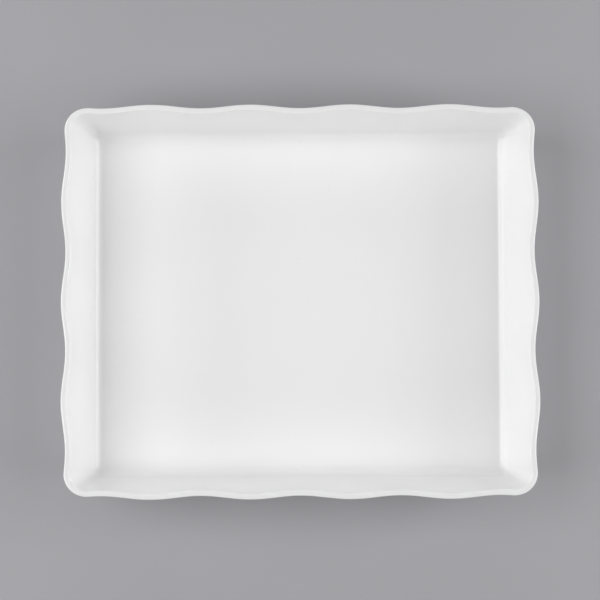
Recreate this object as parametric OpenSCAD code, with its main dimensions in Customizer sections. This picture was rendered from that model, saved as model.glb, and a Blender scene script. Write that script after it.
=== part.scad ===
// China serving platter: a deep rectangular dish with a scalloped rim.
// Millimetres. X is the long way, Y the short way, and Z is up from the table.
// It is fired as one body. The nodes are its zones, meeting face to face.

/* [Dish] */
// Overall length, across the wave crests of the end walls
dish_length = 324; // [312:1:336]
// Overall width, across the wave crests of the long walls
dish_width = 267.6; // [258:0.2:276]
// Overall height, from the table to the rim
dish_height = 55; // [48:1:62]
// Radius of the rim's corners, before the waves are added
corner_radius = 16.3; // [14:0.1:18]

/* [Waves] */
// Depth of the waves along the end walls' rim
end_wave = 3; // [0.5:0.1:4]
// Depth of the waves along the long walls' rim
side_wave = 2.5; // [0.5:0.1:4]
// Depth of the shallow swelling at each corner
corner_wave = 1.3; // [0:0.1:2]
// Length of plain rim between the last wave and the corner
corner_run = 24; // [22:0.5:26]
// Height above the table where the waves die out
wave_foot = 14; // [10:1:24]

/* [Walls and floor] */
// Thickness of the rim
rim_thickness = 3.7; // [3:0.1:4.6]
// Thickness of the floor, and of the wall at its foot
floor_thickness = 4.2; // [3.6:0.1:6]
// How far the end walls' foot is set in from the rim
end_run = 19.8; // [16:0.2:22]
// How far the long walls' foot is set in from the rim
side_run = 17.2; // [14:0.2:20]
// Radius of the cove between the floor and the walls
cove_radius = 7.2; // [4:0.2:8]
// Radius of the floor's corners
floor_corner = 4; // [3:0.5:6]
// Depth of the lip band along the top of the walls
lip_band = 6; // [4:0.5:8]
// Radius of the lip's rounded edges
lip_round = 1; // [0.5:0.05:1.4]

/* [Feet] */
// Height of the foot ring
foot_height = 2; // [1.5:0.1:3]
// Width of the ground face that the foot ring stands on
foot_face = 3.6; // [3:0.1:5]
// Distance from the floor's edge to the foot ring
foot_inset = 1; // [0:0.5:6]
// Length of the small ring that holds up the middle in the kiln
middle_length = 120; // [90:1:150]
// Width of the small ring that holds up the middle in the kiln
middle_width = 84; // [60:1:110]
// How much the small ring stops short of the table
middle_gap = 0.4; // [0.2:0.1:0.6]

/* [Hidden] */

end_waves = 3;
side_waves = 4;
wave_steps = 12;
corner_steps = 8;
cove_steps = 6;
wall_steps = 6;
round_steps = 3;
plain_steps = 3;

// How quickly the waves grow toward the rim, and where the lip's section has a point.
wave_growth = 1.5;
lip_shoulder = 3;

// The rim's outline through the wave troughs, as half lengths.
trough_x = dish_length / 2 - end_wave;
trough_y = dish_width / 2 - side_wave;
straight_x = trough_x - corner_radius;
straight_y = trough_y - corner_radius;
wave_pitch = (trough_x - corner_run) * 2 / side_waves;
waved_x = wave_pitch * side_waves / 2;
waved_y = wave_pitch * end_waves / 2;

// Heights.
floor_top = foot_height + floor_thickness;
cove_centre = floor_top + cove_radius;
lip_foot = dish_height - lip_band;
outer_radius = cove_radius + floor_thickness;

// The wave that swells from a trough to a crest and back.
function swell(turn) = (1 - cos(360 * turn)) / 2;

// Plain rim from the last end-wall wave, round the corner, to the last long-wall wave.
corner_arc = PI / 2 * corner_radius;
plain_y = straight_y - waved_y;
plain_x = straight_x - waved_x;
plain_length = plain_y + corner_arc + plain_x;

// One quarter of the way round, as [share of X, share of Y, direction faced, swelling].
end_count = end_waves * wave_steps / 2;
side_count = side_waves * wave_steps / 2;
quarter = [
    for (i = [0 : end_count - 1])
        let (y = waved_y * i / end_count)
        [1, y / straight_y, 0, end_wave * swell(y / wave_pitch + end_waves / 2)],
    for (i = [0 : plain_steps - 1])
        let (run = plain_y * i / plain_steps)
        [1, (waved_y + run) / straight_y, 0, corner_wave * swell(run / plain_length)],
    for (i = [0 : corner_steps])
        let (run = plain_y + corner_arc * i / corner_steps)
        [1, 1, 90 * i / corner_steps, corner_wave * swell(run / plain_length)],
    for (i = [1 : plain_steps])
        let (run = plain_x * i / plain_steps)
        [
            (straight_x - run) / straight_x, 1, 90,
            corner_wave * swell((plain_length - plain_x + run) / plain_length)
        ],
    for (i = [1 : side_count])
        let (x = waved_x * (1 - i / side_count))
        [x / straight_x, 1, 90, side_wave * swell(x / wave_pitch + side_waves / 2)]
];
quarter_count = len(quarter) - 1;
mitre = end_count + plain_steps + corner_steps / 2;
ring_count = 4 * quarter_count;

// All the way round, anticlockwise from the middle of the right wall.
function mirrored_x(s) = [-s[0], s[1], 180 - s[2], s[3]];
function mirrored_y(s) = [s[0], -s[1], -s[2], s[3]];
ring = [
    for (i = [0 : quarter_count - 1]) quarter[i],
    for (i = [0 : quarter_count - 1]) mirrored_x(quarter[quarter_count - i]),
    for (i = [0 : quarter_count - 1]) mirrored_y(mirrored_x(quarter[i])),
    for (i = [0 : quarter_count - 1]) mirrored_y(quarter[quarter_count - i])
];

// Lean of a straight face from its point at the top, reach inboard and rise above the
// cove's centre, down to a circle of this radius round that centre.
function lean(reach, rise, radius) = atan2(reach, rise) - asin(radius / norm([reach, rise]));

// How much of the wave is left at a height, and the corner radius inside the wall there.
full_wave = dish_height - lip_round;
function wave_share(z) = pow(max(0, min(1, (z - wave_foot) / (full_wave - wave_foot))), wave_growth);
function inner_corner(z) =
    let (share = (z - floor_top) / (dish_height - floor_top))
    floor_corner + (corner_radius - rim_thickness - floor_corner) * share;

// Sections of one wall, [offset out from the trough line, height], for a run at its foot.
rise = dish_height - cove_centre;
function cove_point(run, reach, radius, share) =
    let (turn = (90 - lean(reach, rise, radius)) * share)
    [radius * sin(turn) - run, cove_centre - radius * cos(turn)];
function inner_cove(run) =
    [for (i = [0 : cove_steps]) cove_point(run, run - rim_thickness, cove_radius, i / cove_steps)];
function outer_cove(run) =
    [for (i = [0 : cove_steps]) cove_point(run, run, outer_radius, i / cove_steps)];
function wall_line(low, top_offset, high_z, steps) =
    let (slope = (top_offset - low[0]) / (dish_height - low[1]))
    [
        for (i = [1 : steps])
            let (z = low[1] + (high_z - low[1]) * i / steps)
            [low[0] + slope * (z - low[1]), z]
    ];
function inner_side(run) =
    let (cove = inner_cove(run))
    concat(cove, wall_line(cove[cove_steps], -rim_thickness, lip_foot, wall_steps));
function outer_side(run) =
    let (cove = outer_cove(run))
    concat(cove, wall_line(cove[cove_steps], 0, lip_foot, wall_steps));

// A level is [end-wall point, long-wall point, corner radius, share of the wave].
function inner_level(e, s) = [e, s, inner_corner(e[1]), wave_share(e[1])];
function outer_level(e, s) =
    let (inset = (e[0] + end_run) / outer_radius)
    let (wall = rim_thickness + (floor_thickness - rim_thickness) * (1 - wave_share(e[1])))
    [e, s, inner_corner(max(e[1], floor_top)) + wall * min(1, inset), wave_share(e[1])];

inner_end = inner_side(end_run);
inner_long = inner_side(side_run);
outer_end = outer_side(end_run);
outer_long = outer_side(side_run);
side_points = cove_steps + wall_steps;
inner_levels = [for (i = [0 : side_points]) inner_level(inner_end[i], inner_long[i])];
outer_levels = [for (i = [0 : side_points]) outer_level(outer_end[i], outer_long[i])];
wall_levels = concat(inner_levels, [for (i = [0 : side_points]) outer_levels[side_points - i]]);

// The lip's section starts where the walls stop and closes over the rounded top.
function lip_point(foot, top_offset, drop) =
    foot + ([top_offset, dish_height] - foot) * (1 - drop / (dish_height - foot[1]));
function lip_side(foot_end, foot_long, top_offset, sign) = concat(
    [[foot_end, foot_long]],
    [
        [
            lip_point(foot_end, top_offset, lip_shoulder),
            lip_point(foot_long, top_offset, lip_shoulder)
        ]
    ],
    [
        for (i = [0 : round_steps])
            let (turn = 90 * i / round_steps)
            let (inset = lip_round * (1 - cos(turn)), drop = lip_round * (1 - sin(turn)))
            let (edge = [top_offset - sign * inset, dish_height - drop])
            [edge, edge]
    ]
);
lip_inside = lip_side(inner_end[side_points], inner_long[side_points], -rim_thickness, -1);
lip_outside = lip_side(outer_end[side_points], outer_long[side_points], 0, 1);
lip_points = len(lip_inside);
lip_levels = concat(
    [for (p = lip_inside) inner_level(p[0], p[1])],
    [for (i = [1 : lip_points]) let (p = lip_outside[lip_points - i]) outer_level(p[0], p[1])]
);

// The point of a level at one place round the ring.
function at(s, level) =
    let (half_x = trough_x + level[0][0] - level[2])
    let (half_y = trough_y + level[1][0] - level[2])
    let (reach = level[2] + s[3] * level[3])
    let (side_share = pow(sin(s[2]), 2))
    [
        s[0] * half_x + reach * cos(s[2]),
        s[1] * half_y + reach * sin(s[2]),
        level[0][1] + (level[1][1] - level[0][1]) * side_share
    ];

// Two triangles for one four-sided patch.
function patch(a, b, c, d) = [[a, b, c], [a, c, d]];

// A closed band all the way round.
module band(levels) {
    count = len(levels);
    polyhedron(
        points = [for (s = ring) for (v = levels) at(s, v)],
        faces = [
            for (i = [0 : ring_count - 1])
                for (j = [0 : count - 1])
                    let (here = i * count, next = ((i + 1) % ring_count) * count, up = (j + 1) % count)
                    for (t = patch(here + j, here + up, next + up, next + j)) t
        ]
    );
}

// A length of wall from one mitre to the next.
module wall(first, last, levels) {
    count = len(levels);
    steps = last - first;
    half = count / 2;
    end = steps * count;
    polyhedron(
        points = [
            for (i = [first : last])
                for (v = levels)
                    at(ring[i % ring_count], v)
        ],
        faces = [
            for (i = [0 : steps - 1])
                for (j = [0 : count - 1])
                    let (here = i * count, next = here + count, up = (j + 1) % count)
                    for (t = patch(here + j, here + up, next + up, next + j)) t,
            for (j = [0 : half - 2])
                for (t = patch(j, count - 1 - j, count - 2 - j, j + 1)) t,
            for (j = [0 : half - 2])
                for (t = patch(end + j, end + j + 1, end + count - 2 - j, end + count - 1 - j)) t
        ]
    );
}

// A standing ring with a flat face and drafted sides.
module standing_ring(length, width, radius, z_face) {
    draft = 0.6;
    root = foot_face + 2 * draft;
    profile = [
        [radius - root, foot_height],
        [radius - root + draft, z_face],
        [radius - draft, z_face],
        [radius, foot_height]
    ];
    for (side = [0, 1]) {
        rotate([0, 0, 180 * side])
            translate([length / 2 - radius, 0, 0])
                rotate([90, 0, 0])
                    linear_extrude(height = width - 2 * radius, center = true)
                        polygon(profile);
        rotate([0, 0, 180 * side + 90])
            translate([width / 2 - radius, 0, 0])
                rotate([90, 0, 0])
                    linear_extrude(height = length - 2 * radius, center = true)
                        polygon(profile);
    }
    for (corner = [0 : 3])
        translate([
            (corner == 0 || corner == 3 ? 1 : -1) * (length / 2 - radius),
            (corner < 2 ? 1 : -1) * (width / 2 - radius),
            0
        ])
            rotate([0, 0, 90 * corner])
                rotate_extrude(angle = 90, $fn = 64)
                    polygon(profile);
}

// Flat floor of the well, inside the line where the coves begin.
module well_floor() {
    color("white")
        translate([0, 0, foot_height])
            linear_extrude(height = floor_thickness)
                polygon([for (s = ring) let (p = at(s, inner_levels[0])) [p[0], p[1]]]);
}

module right_wall() {
    color("white") wall(ring_count - mitre, ring_count + mitre, wall_levels);
}

module back_wall() {
    color("ivory") wall(mitre, 2 * quarter_count - mitre, wall_levels);
}

module left_wall() {
    color("white") wall(2 * quarter_count - mitre, 2 * quarter_count + mitre, wall_levels);
}

module front_wall() {
    color("ivory") wall(2 * quarter_count + mitre, ring_count - mitre, wall_levels);
}

// Waved lip with rounded edges.
module lip() {
    color("whitesmoke") band(lip_levels);
}

// Unglazed ring that the dish stands on.
module foot_ring() {
    foot_corner = floor_corner + 4;
    color("linen")
        standing_ring(
            2 * (trough_x - end_run - foot_inset),
            2 * (trough_y - side_run - foot_inset),
            foot_corner,
            0
        );
}

// Unglazed ring that keeps the middle from sinking in the kiln.
module middle_ring() {
    middle_corner = 14;
    color("linen") standing_ring(middle_length, middle_width, middle_corner, middle_gap);
}

well_floor();
front_wall();
back_wall();
left_wall();
right_wall();
lip();
foot_ring();
middle_ring();
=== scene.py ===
import math

import bmesh
import bpy
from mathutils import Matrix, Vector


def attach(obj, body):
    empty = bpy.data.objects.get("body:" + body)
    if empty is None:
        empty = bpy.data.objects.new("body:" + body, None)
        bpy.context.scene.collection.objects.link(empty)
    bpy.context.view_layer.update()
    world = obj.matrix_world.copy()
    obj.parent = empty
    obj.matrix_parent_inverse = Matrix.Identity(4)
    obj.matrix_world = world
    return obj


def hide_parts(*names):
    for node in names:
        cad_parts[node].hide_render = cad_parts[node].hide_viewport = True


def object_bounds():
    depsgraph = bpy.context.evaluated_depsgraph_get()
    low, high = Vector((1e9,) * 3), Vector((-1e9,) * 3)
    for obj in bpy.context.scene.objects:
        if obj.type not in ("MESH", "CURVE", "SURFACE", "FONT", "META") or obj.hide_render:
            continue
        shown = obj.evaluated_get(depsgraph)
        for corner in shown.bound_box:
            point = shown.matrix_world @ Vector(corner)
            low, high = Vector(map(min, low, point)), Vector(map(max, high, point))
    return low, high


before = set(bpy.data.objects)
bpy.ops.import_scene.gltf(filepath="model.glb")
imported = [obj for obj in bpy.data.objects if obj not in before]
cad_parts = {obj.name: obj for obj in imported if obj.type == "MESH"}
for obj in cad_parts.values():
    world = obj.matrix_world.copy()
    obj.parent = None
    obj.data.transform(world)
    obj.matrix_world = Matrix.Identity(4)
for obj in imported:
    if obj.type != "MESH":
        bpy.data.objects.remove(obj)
cad_low, cad_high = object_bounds()

# THE DISH
# White china, pressed in one mould, fired hard and dipped in clear glaze. The leaning walls rise
# from a cove at the flat floor to a waved rim, and thin a little on the way up.
# Sizes are in metres.
height = cad_high.z
end_wave = 0.0030
side_wave = 0.0025
corner_wave = 0.0013
half_end_waves = 1.5
half_side_waves = 2
corner_run = 0.0240
rim_corner = 0.0163
rim_thickness = 0.0037
rim_round = 0.0010
wall_top = height - 2 * rim_round
wave_foot = 0.0140
wave_growth = 1.5
floor_thickness = 0.0042
floor_corner = 0.0040
cove_radius = 0.0072
underside = 0.0020
floor_top = underside + floor_thickness

# A run is how far the floor's edge lies in from the rim's troughs. The flare is how much more a
# wall leans just above its cove than over its whole height.
end_run = 0.0198
side_run = 0.0172
foot_flare = math.radians(3)

trough_x = cad_high.x - end_wave
trough_y = cad_high.y - side_wave
wave_pitch = (trough_x - corner_run) / half_side_waves

wave_steps = 24
plain_steps = 5
corner_steps = 20
inner_cove_steps = 14
outer_cove_steps = 16
wall_steps = 22
round_steps = 8


def swell(turns):
    """From 0 in a trough to 1 on a crest and back, once for each turn."""
    return (1 - math.cos(math.tau * turns)) / 2


# One quarter of the rim in steps: share of the straight half length, share of the straight
# half width, direction faced, and how far the wave stands out there.
straight_x = trough_x - rim_corner
straight_y = trough_y - rim_corner
plain_x = corner_run - rim_corner
plain_y = straight_y - half_end_waves * wave_pitch
corner_arc = math.pi / 2 * rim_corner
plain_length = plain_x + corner_arc + plain_y

# It starts on the crest in the middle of the right end.
quarter = []
for i in range(round(half_end_waves * wave_steps)):
    y = wave_pitch * i / wave_steps
    quarter.append((1, y / straight_y, 0, end_wave * swell(y / wave_pitch + 0.5)))

# One lower wave runs from the end wall's last trough, round the corner, to the long wall's first.
for i in range(plain_steps):
    run = plain_y * i / plain_steps
    share = (half_end_waves * wave_pitch + run) / straight_y
    quarter.append((1, share, 0, corner_wave * swell(run / plain_length)))
for i in range(corner_steps + 1):
    run = plain_y + corner_arc * i / corner_steps
    facing = math.pi / 2 * i / corner_steps
    quarter.append((1, 1, facing, corner_wave * swell(run / plain_length)))
for i in range(1, plain_steps + 1):
    run = plain_x * i / plain_steps
    share = (straight_x - run) / straight_x
    along = (plain_y + corner_arc + run) / plain_length
    quarter.append((share, 1, math.pi / 2, corner_wave * swell(along)))

# Then the long wall's waves, up to the trough in its middle.
for i in range(1, half_side_waves * wave_steps + 1):
    x = wave_pitch * (half_side_waves - i / wave_steps)
    quarter.append((x / straight_x, 1, math.pi / 2, side_wave * swell(x / wave_pitch)))

# The other three quarters are mirror images of it, taken in turn round the dish.
back_left = [(-x, y, math.pi - a, w) for x, y, a, w in reversed(quarter)]
front_left = [(-x, -y, math.pi + a, w) for x, y, a, w in quarter]
front_right = [(x, -y, -a, w) for x, y, a, w in reversed(quarter)]
rim_places = quarter[:-1] + back_left[:-1] + front_left[:-1] + front_right[:-1]


def wave_share(z):
    """How much of the rim's wave the walls have at this height."""
    full = height - rim_round
    return max(0, min(1, (z - wave_foot) / (full - wave_foot))) ** wave_growth


def inner_corner(z):
    """Radius of the well's upright corners at this height."""
    share = (z - floor_top) / (height - floor_top)
    return floor_corner + (rim_corner - rim_thickness - floor_corner) * share


# A level is a section point on the end walls, one on the long walls, the corner's radius and
# the share of the wave. A point is how far out it is from the rim's troughs, and its height.
def stand(place, level):
    """The point of the skin on this level, below or beside this place on the rim."""
    share_x, share_y, facing, wave = place
    end_point, side_point, corner, wave_part = level
    reach = corner + wave * wave_part
    turned = math.sin(facing) ** 2
    return Vector((
        share_x * (trough_x + end_point[0] - corner) + reach * math.cos(facing),
        share_y * (trough_y + side_point[0] - corner) + reach * math.sin(facing),
        end_point[1] + (side_point[1] - end_point[1]) * turned,
    ))


def cove_points(run, reach, radius, steps):
    """The cove, turned up from the floor until it leans as the foot of the wall does."""
    centre = floor_top + cove_radius
    rise = height - centre
    lean = math.atan2(reach, rise) - math.asin(radius / math.hypot(reach, rise))
    turns = [(math.pi / 2 - lean - foot_flare) * i / steps for i in range(steps + 1)]
    return [(radius * math.sin(t) - run, centre - radius * math.cos(t)) for t in turns]


def wall_points(foot, run, top_out):
    """The wall, which leaves its cove smoothly, bows out and stands steeper toward the rim."""
    full = height - foot[1]
    slope = (top_out - foot[0]) / full
    foot_slope = (floor_top + cove_radius - foot[1]) / (foot[0] + run)
    heights = [foot[1] + (wall_top - foot[1]) * i / wall_steps for i in range(1, wall_steps + 1)]
    bows = [(foot_slope - slope) * (z - foot[1]) * (height - z) / full for z in heights]
    return [(foot[0] + slope * (z - foot[1]) + bow, z) for z, bow in zip(heights, bows)]


def rounded(out, toward_middle):
    """One of the rim's two edges, rounded over toward the middle of the rim."""
    turns = [math.pi / 2 * i / round_steps for i in range(round_steps + 1)]
    across = toward_middle * rim_round
    return [(out + across * (1 - math.cos(t)), height - rim_round * (1 - math.sin(t))) for t in turns]


def side_section(run):
    """A wall's inside and outside, both from the floor up to the top of the rim."""
    inside = cove_points(run, run - rim_thickness, cove_radius, inner_cove_steps)
    inside += wall_points(inside[-1], run, -rim_thickness)
    inside += rounded(-rim_thickness, 1)
    outside = cove_points(run, run, cove_radius + floor_thickness, outer_cove_steps)
    outside += wall_points(outside[-1], run, 0)
    outside += rounded(0, -1)
    return inside, outside


# The levels go up the inside, over the rim and down the outside. An outer corner is the inner
# one with the wall's thickness added, which grows from nothing under the cove.
inside_end, outside_end = side_section(end_run)
inside_long, outside_long = side_section(side_run)
levels = [(e, s, inner_corner(e[1]), wave_share(e[1])) for e, s in zip(inside_end, inside_long)]
for e, s in reversed(list(zip(outside_end, outside_long))):
    wall = rim_thickness + (floor_thickness - rim_thickness) * (1 - wave_share(e[1]))
    wall *= min(1, (e[0] + end_run) / (cove_radius + floor_thickness))
    levels.append((e, s, inner_corner(max(e[1], floor_top)) + wall, wave_share(e[1])))

# The floor and the underside each get two rings close to their edge, so that the flat inside
# them stays truly flat where the gloss would show a dent.
near_ring = 0.0010
far_ring = 0.0030


def flat_level(inboard, z):
    """A level on the flat, this far inboard of the floor's edge."""
    return ((-end_run - inboard, z), (-side_run - inboard, z), floor_corner - inboard, 0)


levels = [flat_level(far_ring, floor_top), flat_level(near_ring, floor_top)] + levels
levels += [flat_level(near_ring, underside), flat_level(far_ring, underside)]


def grow(mesh, place, edges, level):
    """Draws the open edge of the skin on to the next level, and gives back the new edge."""
    grown = bmesh.ops.extrude_edge_only(mesh, edges=edges)["geom"]
    fresh = {v for v in grown if isinstance(v, bmesh.types.BMVert)}
    for vert in fresh:
        vert.co = stand(rim_places[vert[place]], level)
    return [e for e in grown if isinstance(e, bmesh.types.BMEdge) and set(e.verts) <= fresh]


def finished(mesh, name):
    """The smooth-shaded object of this name, its faces all turned outwards."""
    bmesh.ops.recalc_face_normals(mesh, faces=mesh.faces)
    for face in mesh.faces:
        face.smooth = True
    data = bpy.data.meshes.new(name)
    mesh.to_mesh(data)
    mesh.free()
    piece = bpy.data.objects.new(name, data)
    bpy.context.scene.collection.objects.link(piece)
    return piece


dish_mesh = bmesh.new()
place = dish_mesh.verts.layers.int.new("place")
bmesh.ops.create_circle(dish_mesh, cap_ends=True, segments=len(rim_places), radius=1)
for i, vert in enumerate(dish_mesh.verts):
    vert[place] = i
    vert.co = stand(rim_places[i], levels[0])
edges = list(dish_mesh.edges)
for level in levels[1:]:
    edges = grow(dish_mesh, place, edges, level)
bmesh.ops.contextual_create(dish_mesh, geom=edges)
dish = finished(dish_mesh, "dish")


def shade(tree, kind, inputs, out=0, **settings):
    """One shader node, its inputs set or linked; gives back the output asked for."""
    made = tree.nodes.new("ShaderNode" + kind)
    for name, value in settings.items():
        setattr(made, name, value)
    for name, value in inputs.items():
        if isinstance(value, bpy.types.NodeSocket):
            tree.links.new(value, made.inputs[name])
        else:
            made.inputs[name].default_value = value
    return made.outputs[out]


def noise(tree, where, size, detail=2.0):
    """Soft mottling, from about 0.3 to 0.7, whose patches are about this size across."""
    return shade(tree, "TexNoise", {"Vector": where, "Scale": 1 / size, "Detail": detail})


def between(tree, value, low, high, start=0.0, end=1.0):
    """Runs smoothly from start to end as the value goes from low to high."""
    limits = {"From Min": low, "From Max": high, "To Min": start, "To Max": end}
    return shade(tree, "MapRange", {"Value": value, **limits}, interpolation_type="SMOOTHSTEP")


def maths(tree, operation, first, second):
    """One sum, product or difference, such as ADD, MULTIPLY or SUBTRACT."""
    return shade(tree, "Math", {0: first, 1: second}, operation=operation)


def blend(tree, share, first, second):
    """Colour that goes from the first to the second with the share."""
    factor, first_colour, second_colour, mixed_colour = 0, 6, 7, 2
    sockets = {factor: share, first_colour: first, second_colour: second}
    return shade(tree, "Mix", sockets, out=mixed_colour, data_type="RGBA")


def new_finish(name):
    """A new material, its nodes, its surface, and the place on the piece."""
    finish = bpy.data.materials.new(name)
    finish.use_nodes = True
    tree = finish.node_tree
    where = shade(tree, "TexCoord", {}, out="Object")
    return finish, tree, tree.nodes["Principled BSDF"], where


# The glaze pools in the coves, where it looks a little cooler. The flat top of the rim is painted
# darker as painted shade, for the grey that its top shows under these side lights. The glaze has
# the faint ripple of a dipped coat, a few specks of iron, and hairlines from cutlery that only
# break the gloss.
china_white = (0.922, 0.922, 0.922, 1)
china_shade = (0.917, 0.917, 0.917, 1)
mottle_size = 0.040
pooled_tint = (0.9155, 0.9160, 0.9160, 1)
pool_start = floor_top + 0.3 * cove_radius
pool_thick = floor_top + 0.5 * cove_radius
pool_end = floor_top + 1.5 * cove_radius
# Painted shade on the rim's flat top, about a tenth darker than the glaze, fading in between these
# heights.
rim_top_painted_shade = (0.850, 0.850, 0.849, 1)
rim_shade_start = height - 0.25 * rim_round
rim_shade_full = height - 0.03 * rim_round
iron_speck = (0.46, 0.41, 0.35, 1)
speck_spacing = 0.014
speck_share = 0.0003 / speck_spacing
speck_strength = 0.7
gloss_roughness = 0.03
sleekest = 0.8 * gloss_roughness
dullest = 1.3 * gloss_roughness
gloss_patch = 0.025
glaze_bend = 1.52
hairline_length = 0.045
hairline_width = 0.00025
hairline_turns = (0.6, -0.5, 1.9)
hairline_start = 0.74
hairline_full = 0.84
hairline_roughness = 0.10
ripple_size = 0.012
ripple_depth = 0.00003
peel_size = 0.0017
peel_depth = 0.0000015

glaze, tree, china, where = new_finish("clear_glaze_on_white_china")
above = shade(tree, "SeparateXYZ", {"Vector": where}, out="Z")
mottle = between(tree, noise(tree, where, mottle_size, 3.0), 0.35, 0.65)
colour = blend(tree, mottle, china_shade, china_white)
rising = between(tree, above, floor_top, pool_start)
leaving = between(tree, above, pool_thick, pool_end, 1.0, 0.0)
colour = blend(tree, maths(tree, "MULTIPLY", rising, leaving), colour, pooled_tint)
# Painted shade: the flat top of the rim is blended to a darker grey.
colour = blend(tree, between(tree, above, rim_shade_start, rim_shade_full), colour, rim_top_painted_shade)
to_speck = shade(tree, "TexVoronoi", {"Vector": where, "Scale": 1 / speck_spacing})
speck = between(tree, to_speck, 0.5 * speck_share, speck_share, speck_strength, 0.0)
colour = blend(tree, speck, colour, iron_speck)
tree.links.new(colour, china.inputs["Base Color"])

roughness = between(tree, noise(tree, where, gloss_patch), 0.3, 0.7, sleekest, dullest)
for turn in hairline_turns:
    stretch = (1 / hairline_length, 1 / hairline_width, 1 / hairline_length)
    laid = shade(tree, "Mapping", {"Vector": where, "Rotation": (0, 0, turn)})
    laid = shade(tree, "Mapping", {"Vector": laid, "Scale": stretch})
    streaks = shade(tree, "TexNoise", {"Vector": laid, "Scale": 1.0, "Detail": 0.0})
    hairline = between(tree, streaks, hairline_start, hairline_full, 0.0, hairline_roughness)
    roughness = maths(tree, "ADD", roughness, hairline)
tree.links.new(roughness, china.inputs["Roughness"])
china.inputs["IOR"].default_value = glaze_bend

ripple = shade(tree, "Bump", {"Height": noise(tree, where, ripple_size), "Distance": ripple_depth})
peel = {"Height": noise(tree, where, peel_size), "Distance": peel_depth, "Normal": ripple}
tree.links.new(shade(tree, "Bump", peel), china.inputs["Normal"])
dish.data.materials.append(glaze)

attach(dish, "root")
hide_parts("well_floor", "front_wall", "back_wall", "left_wall", "right_wall", "lip")

# FOOT RING
# The ring that the dish stands on, part of the same pressed body. It is wiped clean of glaze
# before firing, so that it doesn't stick to the kiln shelf, and its face is then ground flat.
foot_face = 0.0036
foot_draft = 0.0006
foot_inset = 0.0010
foot_corner = 2 * floor_corner
ground_edge = 0.0005
root_flare = 0.0007
root_bite = 0.0001
edge_steps = 5
turn_steps = 16


def standing_ring(name, half_length, half_width, corner, face_z):
    """The ring's section, run round one quarter and mirrored both ways."""
    mesh = bmesh.new()
    root = foot_face + 2 * foot_draft
    skirt = 2 * root_flare
    outline = [
        (-skirt, underside + root_bite), (-skirt, underside), (0, underside),
        (foot_draft, face_z), (root - foot_draft, face_z),
        (root, underside), (root + skirt, underside), (root + skirt, underside + root_bite),
    ]
    section = [mesh.verts.new((half_length - inboard, 0, z)) for inboard, z in outline]
    mesh.faces.new(section)

    # The ground face has softened edges, and the flanks flare where they join the underside.
    face_edges = (section[3], section[4])
    roots = (section[2], section[5])
    for corners, offset in ((face_edges, ground_edge), (roots, root_flare)):
        bmesh.ops.bevel(
            mesh, geom=corners, offset=offset, segments=edge_steps, profile=0.5,
            affect="VERTICES", material=-1,
        )
    bmesh.ops.delete(mesh, geom=mesh.faces, context="FACES_KEEP_BOUNDARY")

    grown = bmesh.ops.extrude_edge_only(mesh, edges=mesh.edges)["geom"]
    side = [v for v in grown if isinstance(v, bmesh.types.BMVert)]
    bmesh.ops.translate(mesh, verts=side, vec=(0, half_width - corner, 0))
    centre = (half_length - corner, half_width - corner, 0)
    bend = [g for g in grown if not isinstance(g, bmesh.types.BMFace)]
    bend = [g for g in bend if isinstance(g, bmesh.types.BMVert) or set(g.verts) <= set(side)]
    turned = bmesh.ops.spin(
        mesh, geom=bend, cent=centre, axis=(0, 0, 1), angle=math.pi / 2, steps=turn_steps,
    )["geom_last"]
    edges = [g for g in turned if isinstance(g, bmesh.types.BMEdge)]
    grown = bmesh.ops.extrude_edge_only(mesh, edges=edges)["geom"]
    side = [v for v in grown if isinstance(v, bmesh.types.BMVert)]
    bmesh.ops.translate(mesh, verts=side, vec=(corner - half_length, 0, 0))

    for axis in "XY":
        whole = mesh.verts[:] + mesh.edges[:] + mesh.faces[:]
        bmesh.ops.mirror(mesh, geom=whole, merge_dist=1e-6, axis=axis)
    return finished(mesh, name)


foot_ring = standing_ring(
    "bare_foot_ring", trough_x - end_run - foot_inset, trough_y - side_run - foot_inset,
    foot_corner, 0,
)

# Bare fired china is a warm chalky white. Grinding leaves a fine grain, and tables and shelves
# leave grey rubbing on the face. The glaze starts at an uneven wiped line on the ring's flanks.
bare_white = (0.83, 0.80, 0.74, 1)
bare_grain = (0.74, 0.70, 0.63, 1)
bare_roughness = 0.85
grain_size = 0.0005
grain_depth = 0.00002
rubbed_grey = (0.50, 0.49, 0.47, 1)
rubbed_patch = 0.009
rubbed_grit = 0.0008
rubbed_strength = 0.6
rubbed_fully = 0.0005
rubbed_limit = 0.0008
wiped_line = 0.0012
wiped_wander = 0.0006
wander_length = 0.006
glaze_edge = 0.0001

bare, tree, body, where = new_finish("bare_fired_china")
above = shade(tree, "SeparateXYZ", {"Vector": where}, out="Z")
grain = noise(tree, where, grain_size, 4.0)
colour = blend(tree, between(tree, grain, 0.35, 0.75), bare_white, bare_grain)
patches = noise(tree, where, rubbed_patch, 3.0)
rubbed = maths(tree, "MULTIPLY", patches, noise(tree, where, rubbed_grit))
low_down = between(tree, above, rubbed_fully, rubbed_limit, 1.0, 0.0)
rubbed = maths(tree, "MULTIPLY", between(tree, rubbed, 0.22, 0.36, 0.0, rubbed_strength), low_down)
colour = blend(tree, rubbed, colour, rubbed_grey)
uneven = maths(tree, "MULTIPLY", noise(tree, where, wander_length), wiped_wander)
line = maths(tree, "ADD", above, uneven)
line = maths(tree, "SUBTRACT", line, wiped_line + wiped_wander / 2)
glazed = between(tree, line, 0.0, glaze_edge)
tree.links.new(blend(tree, glazed, colour, china_white), body.inputs["Base Color"])
finish = between(tree, glazed, 0.0, 1.0, bare_roughness, gloss_roughness)
tree.links.new(finish, body.inputs["Roughness"])
body.inputs["IOR"].default_value = glaze_bend
rough = maths(tree, "MULTIPLY", grain, maths(tree, "SUBTRACT", 1.0, glazed))
grit = shade(tree, "Bump", {"Height": rough, "Distance": grain_depth})
tree.links.new(grit, body.inputs["Normal"])
foot_ring.data.materials.append(bare)

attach(foot_ring, "root")
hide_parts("foot_ring")

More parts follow.
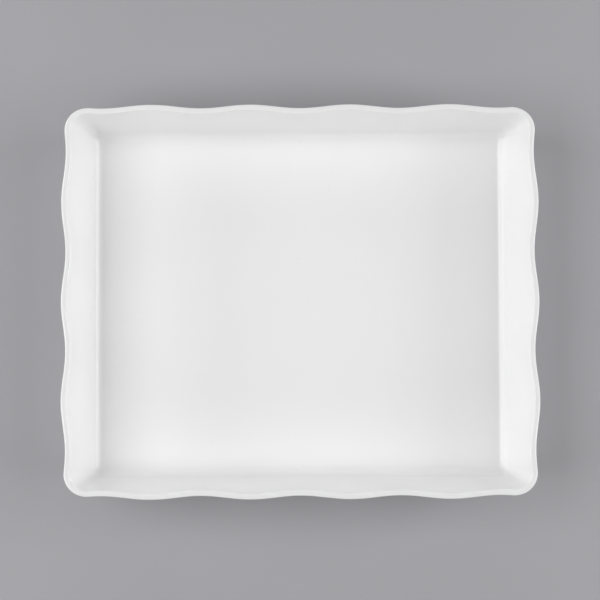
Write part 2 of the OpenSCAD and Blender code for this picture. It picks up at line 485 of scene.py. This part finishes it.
# MIDDLE RING
# A smaller ring under the middle of the floor, bare in the same way. It rests on the kiln shelf
# and keeps the soft floor from sinking, and is left a little short of the table.
middle_length = 0.120
middle_width = 0.084
middle_corner = 0.014
middle_gap = 0.0004
middle_ring = standing_ring(
    "bare_middle_ring", middle_length / 2, middle_width / 2, middle_corner, middle_gap
)
middle_ring.data.materials.append(bare)

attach(middle_ring, "root")
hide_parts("middle_ring")

# TABLE
# Not part of the dish: a wide, flat sheet of matt, pale grey paper that the dish stands on.
# It takes the dish's soft shadow.
paper_half = 4
paper_grey = (0.385, 0.381, 0.402, 1)
paper_roughness = 0.9

table_mesh = bmesh.new()
bmesh.ops.create_grid(table_mesh, x_segments=1, y_segments=1, size=paper_half)
table = finished(table_mesh, "table")
paper = bpy.data.materials.new("pale_paper")
paper.use_nodes = True
sheet = paper.node_tree.nodes["Principled BSDF"]
sheet.inputs["Base Color"].default_value = paper_grey
sheet.inputs["Roughness"].default_value = paper_roughness
table.data.materials.append(paper)

# LIGHTS
# A dim, even studio with eight soft panels. A low strip and a high panel stand on each side, and
# the two ends are lit more strongly than the front and back, so that the long walls look darker.
studio_glow = 0.08
panel_distance = 1.5

world = bpy.data.worlds.new("studio")
world.use_nodes = True
air = world.node_tree.nodes["Background"]
air.inputs["Color"].default_value = (1, 1, 1, 1)
air.inputs["Strength"].default_value = studio_glow
bpy.context.scene.world = world


def softbox(name, compass, low, high, half_spread, radiance):
    """A flat panel that faces the dish. It fills the heights from low to high and reaches the
    half spread to either side of its compass direction, all in degrees."""
    middle = math.radians((low + high) / 2)
    turn = math.radians(compass)
    away = Vector((
        math.cos(turn) * math.cos(middle), math.sin(turn) * math.cos(middle), math.sin(middle)
    ))
    lamp = bpy.data.lights.new(name, "AREA")
    lamp.shape = "RECTANGLE"
    lamp.size = 2 * panel_distance * math.cos(middle) * math.tan(math.radians(half_spread))
    lamp.size_y = 2 * panel_distance * math.tan(math.radians((high - low) / 2))
    lamp.energy = math.pi * radiance * lamp.size * lamp.size_y
    panel = bpy.data.objects.new(name, lamp)
    panel.location = away * panel_distance
    panel.rotation_euler = (-away).to_track_quat("-Z", "Y").to_euler()
    bpy.context.scene.collection.objects.link(panel)


softbox("left_strip", 180, 12, 24, 20, 6.1)
softbox("left_high", 180, 38, 70, 35, 3.3)
softbox("right_strip", 0, 6, 38, 20, 4.1)
softbox("right_high", 0, 38, 64, 35, 1.5)
softbox("back_strip", 90, 14, 34, 35, 1.2)
softbox("back_high", 90, 61, 76, 35, 0.3)
softbox("front_strip", 270, 14, 34, 35, 1.15)
softbox("front_high", 270, 61, 76, 35, 0.6)

# CAMERA
# It looks down into the well from a metre above the rim, from a little toward the front.
# The tiny tilts and the aim a hair off the middle set how the dish sits in the frame.
camera_distance = 1.0
camera_data = bpy.data.cameras.new("camera")
camera_data.sensor_width = 36
camera_data.lens = 88.7
camera = bpy.data.objects.new("camera", camera_data)
camera.rotation_euler = (0.0369, -0.0042, -0.0031)
aim = Vector((-0.0002, 0.0006, height))
camera.location = aim + camera.rotation_euler.to_matrix() @ Vector((0, 0, camera_distance))
bpy.context.scene.collection.objects.link(camera)
bpy.context.scene.camera = camera
bpy.context.scene.view_settings.view_transform = "Standard"
